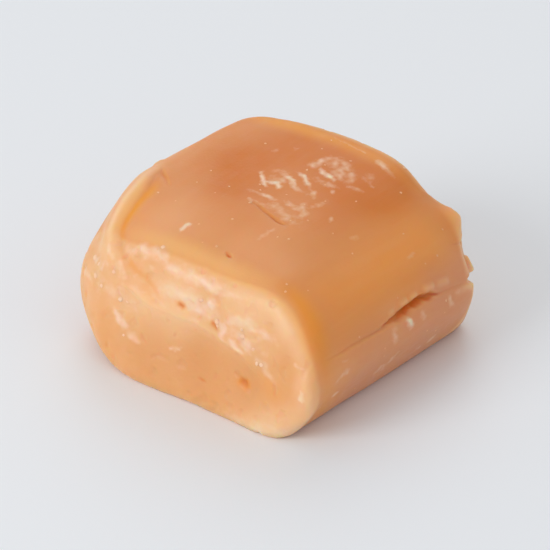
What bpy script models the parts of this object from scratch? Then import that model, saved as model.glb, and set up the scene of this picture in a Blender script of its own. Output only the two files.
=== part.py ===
# One piece of fudge: a soft bar cut across, pressed into a rounded block and settled on its flat base.
# +X runs along the bar to its far end, -X is the end that was cut, -Y is the side with the open fold.
# Sizes here are in millimetres and angles in degrees, and the mesh is written in metres.
import math

import bmesh
import bpy
import numpy as np

mm = 0.001

# The block
middle = (-0.5, -0.2, 7.0)   # the point that the faces are measured from
softness = 0.83        # how far neighbouring faces melt into each other
baseSnap = 0.15        # corners this close to the table are pressed flat on it
cutTolerance = 0.001
gridCuts = 28          # cuts across each side of the starting cube
gridBox = (16.0, 16.0, 8.5)
searchReach = 40.0
searchSteps = 24

# Each pressed face: turn from +X, tilt upward, distance from the middle
faces = {
    "top": (0, 90, 9.7),
    "top near the cut end": (179, 72.5, 10.5),
    "base": (0, -90, 7.5),
    "cut end": (182, 16, 13.3),
    "corner of cut end and open side": (221, 0, 21.1),
    "far end": (0, 0, 16.5),
    "far end towards the open side": (322, 0, 20.7),
    "far end towards the closed side": (22, 1, 18.2),
    "open side": (270.5, 20.5, 15.3),
    "open side below": (269, -25, 15.4),
    "shoulder above the open side": (272.5, 65, 10.9),
    "closed side": (83, 0, 16.2),
    "corner of cut end and closed side": (146, 0, 19.3),
    "shoulder above the closed side": (94.5, 55, 16.9),
    "shoulder of that corner": (142.5, 43, 15.6),
    "undercut of that corner": (126.5, -45, 17.2),
}

# Soft hills and hollows: centre x, y, z, then height and reach
swells = {
    "scoop in the cut end": (-15.0, -1.0, 4.8, -0.75, 4.6),
    "scoop towards the open side": (-15.0, -8.5, 4.6, -0.5, 3.0),
    "foot of the cut end's corner": (-14.0, -14.7, 2.3, 0.3, 1.4),
    "lower corner of the cut end": (-13.7, -15.5, 4.4, 0.55, 1.9),
    "corner of the cut end": (-13.4, -15.5, 7.2, 0.35, 1.9),
    "far corner pressed in": (12.6, -13.6, 12.0, -0.85, 3.2),
    "ear of the far corner": (15.2, -11.7, 12.2, 0.72, 1.4),
    "flat below the ear": (14.2, -14.2, 9.0, -0.5, 1.5),
    "pinch beside the ear": (15.5, -8.4, 14.3, -0.75, 2.9),
    "dip on top": (1.0, 6.0, 16.6, -0.3, 6.0),
    "dent in the closed side": (3.0, 16.0, 8.5, -0.7, 4.5),
    "thumb press in the closed side": (-6.0, 17.0, 5.0, -0.4, 3.0),
    "scoop in the far end": (16.0, 3.0, 7.0, -0.8, 5.0),
    "swell on the far end": (16.0, -6.0, 10.0, 0.3, 3.0),
}

# Folds: points x, y, z with the amount there. The groove has a depth and a width, and the side to the
# left of the walk, seen from outside, stands proud beside it (or sunken, below zero) over the reach
folds = {
    "lip over the cut end": {
        "walk": [(-13.5, 7.5, 11.2, 0.0), (-12.2, 10.1, 12.3, 0.4), (-10.1, 12.0, 13.0, 1.0), (-7.6, 12.8, 14.3, 1.0),
                 (-5.0, 13.2, 15.4, 0.8), (-1.8, 13.9, 16.1, 0.0)],
        "depth": 0.3, "width": 0.8, "proud": 0.6, "reach": 1.8,
    },
    "seam of the open fold": {
        "walk": [(-11.8, -15.9, 8.8, 0.0), (-6.0, -16.0, 8.7, 0.6), (-2.4, -15.9, 8.5, 0.8), (2.9, -15.8, 8.7, 0.8),
                 (7.4, -15.9, 8.2, 0.5), (11.5, -15.8, 7.4, 0.5), (13.4, -15.1, 6.9, 1.0), (14.6, -13.6, 6.5, 1.0),
                 (15.6, -9.5, 6.4, 0.6), (16.0, -5.0, 6.4, 0.0)],
        "depth": 0.2, "width": 0.4, "proud": -0.12, "reach": 2.5,
    },
    "mouth of the open fold": {
        "walk": [(-2.4, -15.8, 8.5, 0.0), (-0.6, -15.8, 8.5, 0.5), (1.2, -15.8, 8.5, 0.8), (2.8, -15.8, 8.7, 1.0),
                 (4.4, -15.8, 8.8, 1.0), (5.8, -15.8, 8.55, 0.6), (7.4, -15.9, 8.2, 0.0)],
        "depth": 0.75, "width": 0.55, "proud": 0.0, "reach": 2.0,
    },
    "notch at the far corner": {
        "walk": [(12.0, -15.7, 7.3, 0.0), (13.0, -15.2, 7.0, 0.4), (13.9, -14.5, 6.7, 1.0), (14.6, -13.3, 6.2, 1.0),
                 (15.3, -11.4, 5.7, 0.7), (15.9, -8.5, 5.2, 0.0)],
        "depth": 1.8, "width": 0.7, "proud": 0.0, "reach": 2.0,
    },
    "step across the cut end": {
        "walk": [(-13.9, 9.9, 9.3, 0.0), (-14.2, 8.3, 9.2, 0.6), (-14.3, 5.6, 8.2, 0.9), (-14.3, 2.0, 8.1, 1.0),
                 (-14.2, -1.7, 8.0, 1.0), (-14.1, -5.5, 7.2, 1.0), (-14.4, -8.8, 5.9, 0.4), (-14.7, -10.5, 4.6, 0.0)],
        "depth": 0.04, "width": 0.6, "proud": 0.25, "reach": 2.5,
    },
    "seam of the closed side": {
        "walk": [(-9.0, 16.5, 6.2, 0.0), (-2.0, 16.8, 7.2, 0.7), (5.0, 16.3, 8.0, 1.0), (11.0, 14.0, 8.4, 0.3),
                 (14.5, 9.0, 8.8, 0.0)],
        "depth": 0.4, "width": 0.5, "proud": -0.15, "reach": 2.5,
    },
    "step across the far end": {
        "walk": [(15.6, -10.0, 6.0, 0.0), (15.8, -5.0, 7.6, 0.8), (15.8, 1.0, 8.4, 1.0), (15.6, 7.0, 8.0, 0.8),
                 (14.8, 11.5, 6.4, 0.0)],
        "depth": 0.05, "width": 0.6, "proud": 0.2, "reach": 2.5,
    },
}
walkSteps = 6          # short runs between two points of a walk
foldMargin = 4.0       # a fold changes nothing further from its walk than this
gather = 0.6           # share by which the grid is drawn onto a fold


def clearScene():
    for item in list(bpy.data.objects):
        bpy.data.objects.remove(item)


def gridDirections(mesh):
    corners = np.array([vert.co[:] for vert in mesh.verts]) * gridBox
    return corners / np.linalg.norm(corners, axis=1, keepdims=True)


def meltedBlock(directions):
    turn, tilt, distance = np.array(list(faces.values()), float).T
    turn = np.radians(turn)
    tilt = np.radians(tilt)
    normals = np.stack([np.cos(turn) * np.cos(tilt), np.sin(turn) * np.cos(tilt), np.sin(tilt)], axis=1)
    slope = directions @ normals.T
    inner = np.zeros(len(directions))
    outer = np.full(len(directions), searchReach)
    for _ in range(searchSteps):
        radius = (inner + outer) / 2
        pull = np.exp((slope * radius[:, None] - distance) / softness)
        outside = pull.sum(axis=1) > 1
        outer = np.where(outside, radius, outer)
        inner = np.where(outside, inner, radius)
    facing = pull @ normals
    facing /= np.linalg.norm(facing, axis=1, keepdims=True)
    points = directions * radius[:, None] + middle
    return points, facing


def swellLift(points):
    lift = np.zeros(len(points))
    for x, y, z, height, reach in swells.values():
        away = np.linalg.norm(points - (x, y, z), axis=1)
        lift += height * np.exp(-(away / reach) ** 2)
    return lift


def smoothWalk(walk):
    # a curve through the points of the walk, as many short runs
    knots = np.array([walk[0]] + walk + [walk[-1]], float)
    curve = []
    for before, start, end, after in zip(knots[:-3], knots[1:-2], knots[2:-1], knots[3:]):
        for step in range(walkSteps):
            t = step / walkSteps
            bend = (2 * before - 5 * start + 4 * end - after) * t ** 2
            twist = (3 * start - before - 3 * end + after) * t ** 3
            curve.append(start + ((end - before) * t + bend + twist) / 2)
    return np.array(curve + [knots[-1]])


def alongWalk(points, facing, walk):
    # the way along the surface from the walk to every point, its length, positive to the left seen from
    # outside, and the amount there
    nearest = np.full(len(points), np.inf)
    way = np.zeros((len(points), 3))
    offset = np.zeros(len(points))
    amount = np.zeros(len(points))
    curve = smoothWalk(walk)
    for start, end in zip(curve[:-1], curve[1:]):
        run = end[:3] - start[:3]
        part = np.clip((points - start[:3]) @ run / (run @ run), 0, 1)
        gap = points - start[:3] - part[:, None] * run
        away = np.linalg.norm(gap, axis=1)
        gap -= np.sum(gap * facing, axis=1)[:, None] * facing
        side = np.sign(np.sum(np.cross(facing, run) * gap, axis=1))
        closer = away < nearest
        nearest = np.where(closer, away, nearest)
        way = np.where(closer[:, None], gap, way)
        offset = np.where(closer, np.linalg.norm(gap, axis=1) * side, offset)
        amount = np.where(closer, start[3] + part * (end[3] - start[3]), amount)
    return way, offset, np.where(nearest < foldMargin, amount, 0)


def foldedBlock(points, facing):
    # draws the grid together along each fold, so that it is fine enough there, and sinks or raises it
    lift = swellLift(points)
    for fold in folds.values():
        way, offset, amount = alongWalk(points, facing, fold["walk"])
        spread = np.clip(np.abs(offset) / fold["reach"], 0, 1)
        drawn = gather * amount * (1 - spread)
        points = points - drawn[:, None] * way
        offset = offset * (1 - drawn)
        groove = np.exp(-(offset / fold["width"]) ** 2)
        shoulder = np.tanh(offset / fold["width"]) * np.exp(-(offset / fold["reach"]) ** 2)
        lift += amount * (fold["proud"] * shoulder - fold["depth"] * groove)
    return points + facing * lift[:, None]


def flattenBase(mesh):
    # everything below the table is cut away, and one flat face closes the cut
    for vert in mesh.verts:
        if abs(vert.co.z) < baseSnap:
            vert.co.z = 0.0
    everything = mesh.verts[:] + mesh.edges[:] + mesh.faces[:]
    bmesh.ops.bisect_plane(mesh, geom=everything, dist=cutTolerance, plane_no=(0, 0, 1))
    below = [face for face in mesh.faces if face.calc_center_median().z < cutTolerance]
    bmesh.ops.delete(mesh, geom=below, context="FACES")
    rim = [edge for edge in mesh.edges if edge.is_boundary]
    bmesh.ops.contextual_create(mesh, geom=rim)


def centreFootprint(mesh):
    corners = np.array([vert.co[:] for vert in mesh.verts])
    centre = (corners.min(axis=0) + corners.max(axis=0)) / 2
    bmesh.ops.translate(mesh, verts=mesh.verts, vec=(-centre[0], -centre[1], 0))


def fudgeMaterial():
    material = bpy.data.materials.new("fudge")
    material.use_nodes = True
    shader = material.node_tree.nodes["Principled BSDF"]
    shader.inputs["Base Color"].default_value = (0.66, 0.34, 0.14, 1)
    shader.inputs["Roughness"].default_value = 0.42
    shader.inputs["Metallic"].default_value = 0.0
    return material


def fudgePiece():
    mesh = bmesh.new()
    bmesh.ops.create_cube(mesh, size=2)
    bmesh.ops.subdivide_edges(mesh, edges=mesh.edges, cuts=gridCuts, use_grid_fill=True)
    points, facing = meltedBlock(gridDirections(mesh))
    for vert, point in zip(mesh.verts, foldedBlock(points, facing)):
        vert.co = point
    flattenBase(mesh)
    centreFootprint(mesh)
    bmesh.ops.scale(mesh, verts=mesh.verts, vec=(mm, mm, mm))
    bmesh.ops.recalc_face_normals(mesh, faces=mesh.faces)
    data = bpy.data.meshes.new("fudge_piece")
    mesh.to_mesh(data)
    mesh.free()
    data.materials.append(fudgeMaterial())
    data.shade_smooth()
    data.set_sharp_from_angle(angle=math.radians(50))
    piece = bpy.data.objects.new("fudge_piece", data)
    bpy.context.scene.collection.objects.link(piece)
    return piece


clearScene()
fudgePiece()
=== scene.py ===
import math
import random

import bmesh
import bpy
import numpy as np
from mathutils import Matrix, Vector, noise
from mathutils.bvhtree import BVHTree


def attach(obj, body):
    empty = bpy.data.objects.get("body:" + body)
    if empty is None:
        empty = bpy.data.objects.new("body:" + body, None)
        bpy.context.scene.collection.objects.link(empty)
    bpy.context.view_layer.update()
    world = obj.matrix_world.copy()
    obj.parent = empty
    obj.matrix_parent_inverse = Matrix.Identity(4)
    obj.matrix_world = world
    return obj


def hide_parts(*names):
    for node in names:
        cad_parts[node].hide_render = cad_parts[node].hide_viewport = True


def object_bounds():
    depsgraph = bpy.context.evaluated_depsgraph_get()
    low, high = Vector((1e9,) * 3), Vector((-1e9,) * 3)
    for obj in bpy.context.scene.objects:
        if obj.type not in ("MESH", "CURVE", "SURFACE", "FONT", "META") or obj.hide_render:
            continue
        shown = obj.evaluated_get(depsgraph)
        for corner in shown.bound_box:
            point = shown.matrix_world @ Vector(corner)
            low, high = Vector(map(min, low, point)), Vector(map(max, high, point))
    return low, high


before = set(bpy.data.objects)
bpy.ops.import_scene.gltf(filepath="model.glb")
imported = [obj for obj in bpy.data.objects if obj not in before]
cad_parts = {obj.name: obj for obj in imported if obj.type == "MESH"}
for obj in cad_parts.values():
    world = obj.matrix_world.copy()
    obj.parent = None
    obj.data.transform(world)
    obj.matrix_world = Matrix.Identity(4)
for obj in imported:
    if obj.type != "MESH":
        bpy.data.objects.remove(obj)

mm = 0.001
cadLow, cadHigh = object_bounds()
print("frame loaded: %.1f x %.1f x %.1f mm" % tuple((cadHigh - cadLow) / mm))

# Sizes are in millimetres: +X runs from the cut end to the far end, -Y is the side with the open fold
block = {
    "middle": (-0.5, -0.2, 7),        # the faces are measured from here
    "softness": 0.83,                 # how far neighbouring faces melt together
    "cuts": (170, 170, 94),           # grid across the length, the width and the height
    "gridBox": (16, 16, 8.5),         # half sizes of the box that the grid comes from
    "reach": 40,                      # nothing of the block is further from its middle
    "searchSteps": 26,                # halvings until the surface is found
    "snap": 0.05,                     # corners this close to the table lie on it
    "skim": 0.001,                    # faces this low are cut away under the base
    "faces": {                        # turn from +X, tilt upward, distance
        "top": (0, 90, 9.7),
        "top near the cut end": (179, 72.5, 10.5),
        "base": (0, -90, 7.5),
        "cut end": (182, 16, 13.3),
        "corner of cut end and open side": (221, 0, 21.1),
        "far end": (0, 0, 16.5),
        "far end towards the open side": (322, 0, 20.7),
        "far end towards the closed side": (22, 1, 18.2),
        "open side": (270.5, 20.5, 15.3),
        "open side below": (269, -25, 15.4),
        "shoulder above the open side": (272.5, 65, 10.9),
        "closed side": (83, 0, 16.2),
        "corner of cut end and closed side": (146, 0, 19.3),
        "shoulder above the closed side": (94.5, 55, 16.9),
        "shoulder of that corner": (142.5, 43, 15.6),
        "undercut of that corner": (126.5, -45, 17.2),
    },
    "swells": {                       # centre, reach, height
        "scoop in the cut end": (-15, -1, 4.8, 4.6, -0.75),
        "scoop towards the open side": (-15, -8.5, 4.6, 3, -0.5),
        "bump under the pit": (-14.8, -8.1, 3.6, 0.45, 0.12),
        "foot of the cut end's corner": (-14, -14.7, 2.3, 1.4, 0.3),
        "lower corner of the cut end": (-13.7, -15.5, 4.4, 1.9, 0.55),
        "corner of the cut end": (-13.4, -15.5, 7.2, 1.9, 0.35),
        "far corner pressed in": (12.6, -13.6, 12, 3.2, -0.85),
        "ear of the far corner": (15.2, -11.7, 12.2, 1.4, 0.72),
        "flat below the ear": (14.2, -14.2, 9, 1.5, -0.5),
        "pinch beside the ear": (15.5, -8.4, 14.3, 2.9, -0.75),
        "tip of the flap": (13.6, -14.8, 4.6, 2.2, 0.05),
        "dip on top": (1, 6, 16.6, 6, -0.3),
        "dent in the closed side": (3, 16, 8.5, 4.5, -0.7),
        "thumb press in the closed side": (-6, 17, 5, 3, -0.4),
        "scoop in the far end": (16, 3, 7, 5, -0.8),
        "swell on the far end": (16, -6, 10, 3, 0.3),
    },
}

# Folds, steps and cracks: points with the amount there. Left and right are seen from outside while walking;
# each has the width of the groove's wall, how proud the surface stands beyond it and how far that reaches.
# Where no right side is given, both are alike
# Each fold's amber share paints its groove, nick or pit deep amber as painted shade
folds = {
    "foot of the lip": {"depth": 0.16, "left": (0.8, 0.6, 1.8), "right": (1, 0, 1), "walk": [
        (-13.5, 7.5, 11.2, 0), (-12.2, 10.1, 12.3, 0.25), (-11.2, 11.2, 12.6, 0.7), (-10.1, 12, 13, 1),
        (-9, 12.4, 13.6, 1), (-7.6, 12.7, 14.3, 1), (-6.2, 12.7, 15, 1), (-5, 12.8, 15.5, 0.8),
        (-3.2, 13.3, 15.9, 0.3), (-1.8, 13.7, 16.1, 0)]},
    "crease beside the lip": {"depth": 0.14, "grooveShade": 0.2,
        "left": (0.22, 0.14, 0.6), "right": (0.3, 0, 1), "walk": [
        (-1.7, 14.1, 16, 0), (-2.5, 13.1, 16, 1), (-3.2, 12.2, 16, 0.8), (-4.2, 11, 16, 0)]},
    "seam of the open fold": {"depth": 0.2, "grooveShade": 0.15,
        "left": (0.18, -0.08, 2), "right": (0.15, 0.1, 2), "walk": [
        (-11.8, -15.9, 8.8, 0), (-9, -16, 8.8, 0.5), (-6, -16, 8.7, 0.6), (-2.4, -15.9, 8.5, 0.8),
        (2.9, -15.8, 8.7, 0.8), (5.8, -15.8, 8.55, 0.6), (7.4, -15.9, 8.2, 0.4), (9.5, -15.9, 7.85, 0.25),
        (11.5, -15.8, 7.4, 0.4), (13.4, -15.1, 6.9, 1), (14.6, -13.6, 6.5, 1), (15.6, -9.5, 6.4, 0.6),
        (16, -5, 6.4, 0)]},
    "mouth of the open fold": {"depth": 0.85, "grooveShade": 1.1, "sharp": 4, "ragged": 0.2,
        "left": (0.42, 0, 1), "right": (0.36, 0, 1), "walk": [
        (-2.4, -15.8, 8.5, 0), (-0.6, -15.8, 8.5, 0.5), (1.2, -15.8, 8.5, 0.8), (2.8, -15.8, 8.7, 1),
        (4.4, -15.8, 8.8, 1), (5.8, -15.8, 8.55, 0.6), (7.4, -15.9, 8.2, 0)]},
    "notch at the far corner": {"depth": 2.4, "grooveShade": 0.7, "sharp": 4, "left": (0.6, 0, 1), "walk": [
        (12, -15.7, 7.3, 0), (13, -15.2, 7, 0.4), (13.9, -14.5, 6.7, 1), (14.6, -13.3, 6.2, 1),
        (15.3, -11.4, 5.7, 0.6), (15.8, -9, 5.3, 0)]},
    "nub at the far corner": {"depth": -0.5, "sharp": 6, "left": (0.45, 0, 1), "walk": [
        (13.8, -14.3, 8.6, 1), (13.5, -14.7, 7.8, 1)]},
    "step across the cut end": {"depth": 0.04, "left": (0.55, 0.3, 2.4), "right": (0.7, -0.2, 2.6), "walk": [
        (-13.9, 9.9, 9.3, 0), (-14.2, 8.3, 9.2, 0.6), (-14.3, 5.6, 8.2, 0.9), (-14.3, 2, 8.1, 1),
        (-14.2, -1.7, 8, 1), (-14.1, -5.5, 7.2, 1), (-14.4, -8.8, 5.9, 0.4), (-14.7, -10.5, 4.6, 0)]},
    "crease on top": {"depth": 0.22, "grooveShade": 0.6,
        "left": (0.13, 0.05, 0.7), "right": (0.13, 0, 1), "walk": [
        (-1.2, 2.4, 16.3, 0), (-1.4, 1.7, 16.3, 0.7), (-1.8, 0.6, 16.3, 0.8), (-2.2, -0.6, 16.3, 0.7),
        (-2.5, -1.7, 16.2, 1), (-2.6, -2.6, 16.1, 1), (-2.5, -3.8, 16, 0)]},
    "nick near the cut end": {"depth": 0.26, "grooveShade": 1, "left": (0.2, 0, 1), "walk": [
        (-9.2, -0.8, 15.1, 0), (-9.4, -1.5, 15, 1), (-9.5, -2.2, 15, 0)]},
    "nick in the cut end": {"depth": 0.1, "grooveShade": 0.7, "left": (0.18, 0, 1), "walk": [
        (-15.2, -1.7, 3.2, 0), (-15.2, -2.5, 3.1, 1), (-15.2, -3.3, 3.1, 0)]},
    "pit in the cut end": {"depth": 0.3, "grooveShade": 1, "left": (0.42, 0, 1), "walk": [
        (-14.4, -7.3, 4.5, 0.8), (-14.4, -7.7, 4.4, 0.8)]},
    "small pit in the crumbs": {"depth": 0.25, "grooveShade": 1, "left": (0.3, 0, 1), "walk": [
        (-13.7, 1.5, 10, 0.7), (-13.7, 1.2, 9.9, 0.7)]},
    "second small pit": {"depth": 0.25, "grooveShade": 1, "left": (0.3, 0, 1), "walk": [
        (-13.7, -2.8, 9.3, 0.8), (-13.7, -3.2, 9.1, 0.8)]},
    "crease below the ear": {"depth": 0.16, "grooveShade": 0.2,
        "left": (0.16, 0.08, 0.8), "right": (0.16, 0, 1), "walk": [
        (11.6, -13.7, 11.1, 0), (12.8, -13.7, 10.7, 0.6), (13.8, -13.6, 10.3, 1), (15, -12.6, 10.1, 1),
        (15.9, -10.5, 10, 0)]},
    "seam of the closed side": {"depth": 0.4, "grooveShade": 0.4,
        "left": (0.5, 0, 2), "right": (0.3, 0.3, 2.5), "walk": [
        (-9, 16.5, 6.2, 0), (-2, 16.8, 7.2, 0.7), (5, 16.3, 8, 1), (11, 14, 8.4, 0.3), (14.5, 9, 8.8, 0)]},
    "step across the far end": {"depth": 0.05,
        "left": (0.55, 0.28, 2.6), "right": (0.7, -0.1, 2.2), "walk": [
        (15.6, -10, 6, 0), (15.8, -5, 7.6, 0.8), (15.8, 1, 8.4, 1), (15.6, 7, 8, 0.8),
        (14.8, 11.5, 6.4, 0)]},
}

# The line where each cut face turns into the skin; the cut face lies to the left of the walk
cutEdges = {
    "cut end": [
        (-12.2, -13.6, 0.2), (-12.4, -14.7, 1.9), (-12.5, -15.4, 4), (-12.5, -15.6, 6.5),
        (-12.6, -15.2, 8.6), (-12.4, -13.7, 11), (-11.9, -12.2, 12.5), (-11.5, -10.2, 13.5),
        (-11.3, -7.7, 14.1), (-11.5, -4, 14), (-11.6, 0.5, 14), (-11.6, 4, 13.9), (-11.6, 8, 13.5),
        (-11.2, 11, 12.8), (-10.2, 13.4, 12.6), (-9.6, 15.6, 11), (-10.6, 16.4, 8.6), (-11.2, 16.4, 6),
        (-12.8, 15, 2.6), (-14.6, 12.4, 0.3)],
    "far end": [
        (14.3, 12.3, 0.3), (13.4, 14.4, 3), (13, 14.6, 9), (13.6, 12.4, 14.2), (14.6, 8, 15.8),
        (15, 1, 16.2), (15, -5, 15.4), (14.8, -9, 14), (14.9, -12, 12), (14.4, -13.4, 9.6), (14.1, -14.2, 6),
        (13.8, -14, 3), (13.6, -13.4, 0.3)],
}

# Raised ridges, painted paler along their crests as a painted highlight: points with the amount there, then
# height and width
ridges = {
    "bead round the cut end": ([
        (-12.4, -2, 13.1, 0), (-12.3, -5.2, 13.1, 0.5), (-12.1, -7.7, 13.3, 0.7), (-12, -9.5, 13.1, 0.9),
        (-12.2, -10.7, 12.7, 1.1), (-12.7, -11.8, 11.6, 1), (-13, -12.9, 10.6, 0.6),
        (-13.2, -14.3, 9.1, 0.5), (-13.5, -15.2, 6.7, 0.5), (-13.8, -15.1, 4.5, 0.6), (-14, -14.5, 2.4, 0.8),
        (-14.2, -13.6, 0.9, 0.9), (-15.6, -10.5, 0.6, 0.8), (-15.8, -6.5, 0.5, 0)], 0.22, 1.25),
    "corner below the bead": ([
        (-13.2, -15.4, 8.2, 0), (-13.5, -15.5, 6.9, 0.5), (-13.6, -15.6, 5.4, 0.9), (-13.7, -15.6, 4, 1),
        (-14.1, -15.2, 2.9, 0.9), (-14.4, -14.7, 2, 0.5), (-14.3, -14, 1, 0)], 0.35, 0.8),
    "crest of the lip": ([
        (-13.2, 10.8, 11, 0.3), (-12.2, 12.6, 11.4, 0.5), (-10.9, 14, 12, 0.6), (-9.7, 14.7, 12.7, 0.6),
        (-8.5, 15, 13.4, 0.6), (-7.1, 15, 14.3, 0.6), (-5.3, 15, 14.9, 0.6), (-3.4, 15, 15.4, 0.7),
        (-1.2, 15, 15.6, 0.4), (2.5, 14.8, 15.8, 0.2), (6, 14.6, 15.9, 0)], 0.4, 1.1),
    "light line on the lip": ([
        (-12.6, 11.4, 11.8, 0.5), (-11.6, 12.3, 12.3, 0.95), (-10.4, 13.3, 12.8, 1.1),
        (-9.2, 13.8, 13.5, 1.15), (-7.8, 14, 14.3, 1.15), (-6, 14, 15, 1.15), (-4.5, 14.2, 15.5, 1),
        (-3, 14.5, 15.8, 0.8), (-1, 14.7, 15.9, 0.4)], 0.05, 0.8),
    "ridge over the scoop": ([
        (-14, 9.6, 9.6, 0), (-14.2, 8, 9.3, 0.3), (-14.3, 5.6, 8.7, 0.45), (-14.2, 2, 8.7, 0.5),
        (-14.1, -1.7, 8.6, 0.5), (-14.1, -4.4, 8.1, 0.35), (-14.2, -6.5, 7.5, 0)], 0.08, 0.75),
    "tooth on the edge": ([(-1, 15.1, 15.5, 0.8), (-0.4, 15.1, 15.6, 0.8)], 0.2, 0.35),
    "nub at the far corner": ([(13.8, -14.4, 8.6, 0.9), (13.5, -14.8, 7.8, 0.9)], 0, 0.6),
    "lump over the fold": ([(-0.6, -15.7, 9.4, 0.25), (-0.2, -15.7, 9.45, 0.25)], 0.5, 0.35),
    "second lump over the fold": ([(1.5, -15.7, 9.6, 0.35), (2, -15.7, 9.6, 0.4)], 0.6, 0.38),
    "third lump over the fold": ([(3.1, -15.7, 9.65, 0.35), (3.6, -15.7, 9.65, 0.4)], 0.6, 0.36),
    "fourth lump over the fold": ([(5.3, -15.7, 9.6, 0.4), (6.3, -15.7, 9.45, 0.35)], 0.7, 0.42),
    "fifth lump over the fold": ([(7.4, -15.7, 9.25, 0.3), (8.6, -15.7, 9, 0.35)], 0.6, 0.45),
    "turned edge of the far corner": ([
        (15.2, -11.4, 12.7, 0.4), (14.8, -12.4, 12.1, 0.8), (14, -13.4, 10.9, 0.7), (13.4, -14.3, 9.8, 0.8),
        (12.9, -14.9, 8.8, 0.8), (12.6, -15.2, 8.2, 0.6)], 0.06, 0.55),
    "edge of the flap": ([
        (9, -16.2, 7, 0), (11.4, -16.1, 7, 0.5), (12.8, -15.8, 6.3, 0.9), (13.2, -15.6, 5, 0.9),
        (12.9, -15.3, 3.2, 0.8), (11.8, -14.9, 1.4, 0.6), (9.6, -14.6, 0.9, 0.2)], 0.08, 0.45),
    "bead round the far end": ([
        (15.3, -10, 12.2, 0), (15.6, -4, 14.6, 0.7), (15.6, 2, 15.2, 1), (15.2, 8, 14.8, 1),
        (14.2, 12, 12, 1), (13.9, 13.4, 7, 1), (14.4, 12.6, 2, 0.6)], 0.16, 0.8),
}

# Thin, light yellow lines of painted highlight and glow along the edges: points with the amount there, then
# width
edges = {
    "round the cut end": ([
        (-11.4, 9, 13.3, 0.3), (-11.6, 4, 13.9, 0.4), (-11.6, 0.5, 14, 0.6), (-11.5, -4, 14, 0.8),
        (-11.3, -7.7, 14.1, 1), (-11.5, -10.2, 13.5, 1), (-11.9, -12.2, 12.5, 1), (-12.4, -13.7, 11, 0.9),
        (-12.8, -15.1, 8.6, 0.6), (-12.9, -15.5, 6.5, 0.5), (-12.8, -15.3, 4, 0.5),
        (-12.4, -14.7, 1.9, 0.4)], 0.45),
    "above the crumbs": ([
        (-10.9, 9.6, 13.8, 0.5), (-10.8, 6, 14.2, 0.9), (-10.8, 2, 14.5, 0.95), (-10.8, -3, 14.5, 0.9),
        (-10.6, -6.5, 14.4, 0.6), (-10.5, -9, 13.9, 0.2)], 1.3),
    "inside of the lip": ([
        (-11.4, 11.8, 12.4, 0.6), (-10.2, 12.7, 12.9, 0.9), (-8.9, 13.1, 13.7, 1), (-7.4, 13.3, 14.6, 1),
        (-5.8, 13.4, 15.3, 1), (-4.2, 13.7, 15.8, 0.5)], 0.45),
    "ear of the far corner": ([
        (14.4, -10.8, 13.2, 0.3), (14.4, -12, 12.6, 0.8), (14.1, -12.8, 11.4, 0.7),
        (13.7, -13.4, 10.4, 0.3)], 0.75),
    "edge of the flap": ([
        (11.4, -16.1, 7.1, 0.2), (12.6, -15.9, 6.7, 0.7), (13.3, -15.5, 5.6, 0.8), (13.3, -15.4, 4.4, 0.8),
        (12.9, -15.3, 3.2, 0.7), (11.8, -14.9, 1.6, 0.6), (10.4, -14.7, 1, 0.3)], 0.45),
    "round the far end": ([
        (14.6, -8, 14.9, 0.4), (15, 0, 16.3, 0.8), (14.4, 8, 16, 1), (13.3, 12.6, 14, 0.8),
        (12.8, 14.6, 9, 0.8), (13.2, 14.4, 4, 0.6)], 0.5),
}

# Broad orange strips where the light comes through: points with the amount there, then width
glows = {
    "above the cut end": ([
        (-10.2, -1, 14.9, 0), (-10.1, -5, 14.9, 0), (-9.8, -8.5, 14.6, 0.35), (-10.1, -11.2, 13.7, 0.9),
        (-10.6, -13.4, 12, 0.9), (-11.2, -14.7, 10, 0.75), (-11.4, -15.8, 7.4, 0.45), (-11, -15.8, 4.6, 0.3),
        (-10.8, -14.9, 2, 0.2), (-10.6, -13.6, 0.2, 0.1)], 1.4),
    "foot of the lip": ([
        (-12.4, 10.2, 12.2, 0.45), (-11.4, 11.4, 12.5, 0.75), (-10.2, 12.2, 13, 0.95),
        (-9.1, 12.4, 13.7, 1.05), (-7.8, 12.5, 14.4, 1.1), (-6.2, 12.4, 15.1, 1), (-4.8, 12.4, 15.6, 0.7),
        (-3.4, 12.9, 16, 0)], 0.75),
    "above the far end": ([
        (13.6, -8, 15, 0.3), (13.6, 0, 16.5, 0.8), (13, 8, 16.3, 1), (12, 12.6, 14.6, 0.8),
        (11.6, 14.8, 9, 0.5)], 1.4),
}

# Painted shade: orange in the pits and hollows of the cut faces and under the lip, where light glows through
# shaded fudge: points with the amount there, then width
recessShades = {
    "below the lip": ([
        (-12.9, 8.6, 11.7, 0.6), (-13.2, 7, 11.3, 0.6), (-13.3, 6.2, 11.1, 0.6), (-13.6, 5.1, 10.5, 0.4),
        (-14.1, 3.9, 9.4, 0.2)], 0.4),
    "under the lip": ([(-13.7, 6, 10.2, 0.4), (-13.9, 5.2, 9.6, 0.3)], 0.8),
    "round the pit": ([(-14.3, -7.1, 4.3, 1), (-14.3, -7.8, 4.3, 1)], 0.5),
    "beside the pit": ([(-14.2, -10.2, 5.8, 0.35), (-14.3, -11.6, 4.8, 0.45)], 1.1),
    "middle of the crumbs": ([(-13.7, 1.6, 10, 0.6), (-13.7, 1.2, 9.9, 0.6)], 0.4),
    "right of the crumbs": ([(-13.7, -2.8, 9.3, 0.6), (-13.7, -3.3, 9.1, 0.6)], 0.4),
    "far end": ([(15.9, 2, 6, 0.4), (15.9, 4, 5.6, 0.3)], 1.2),
}

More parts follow.
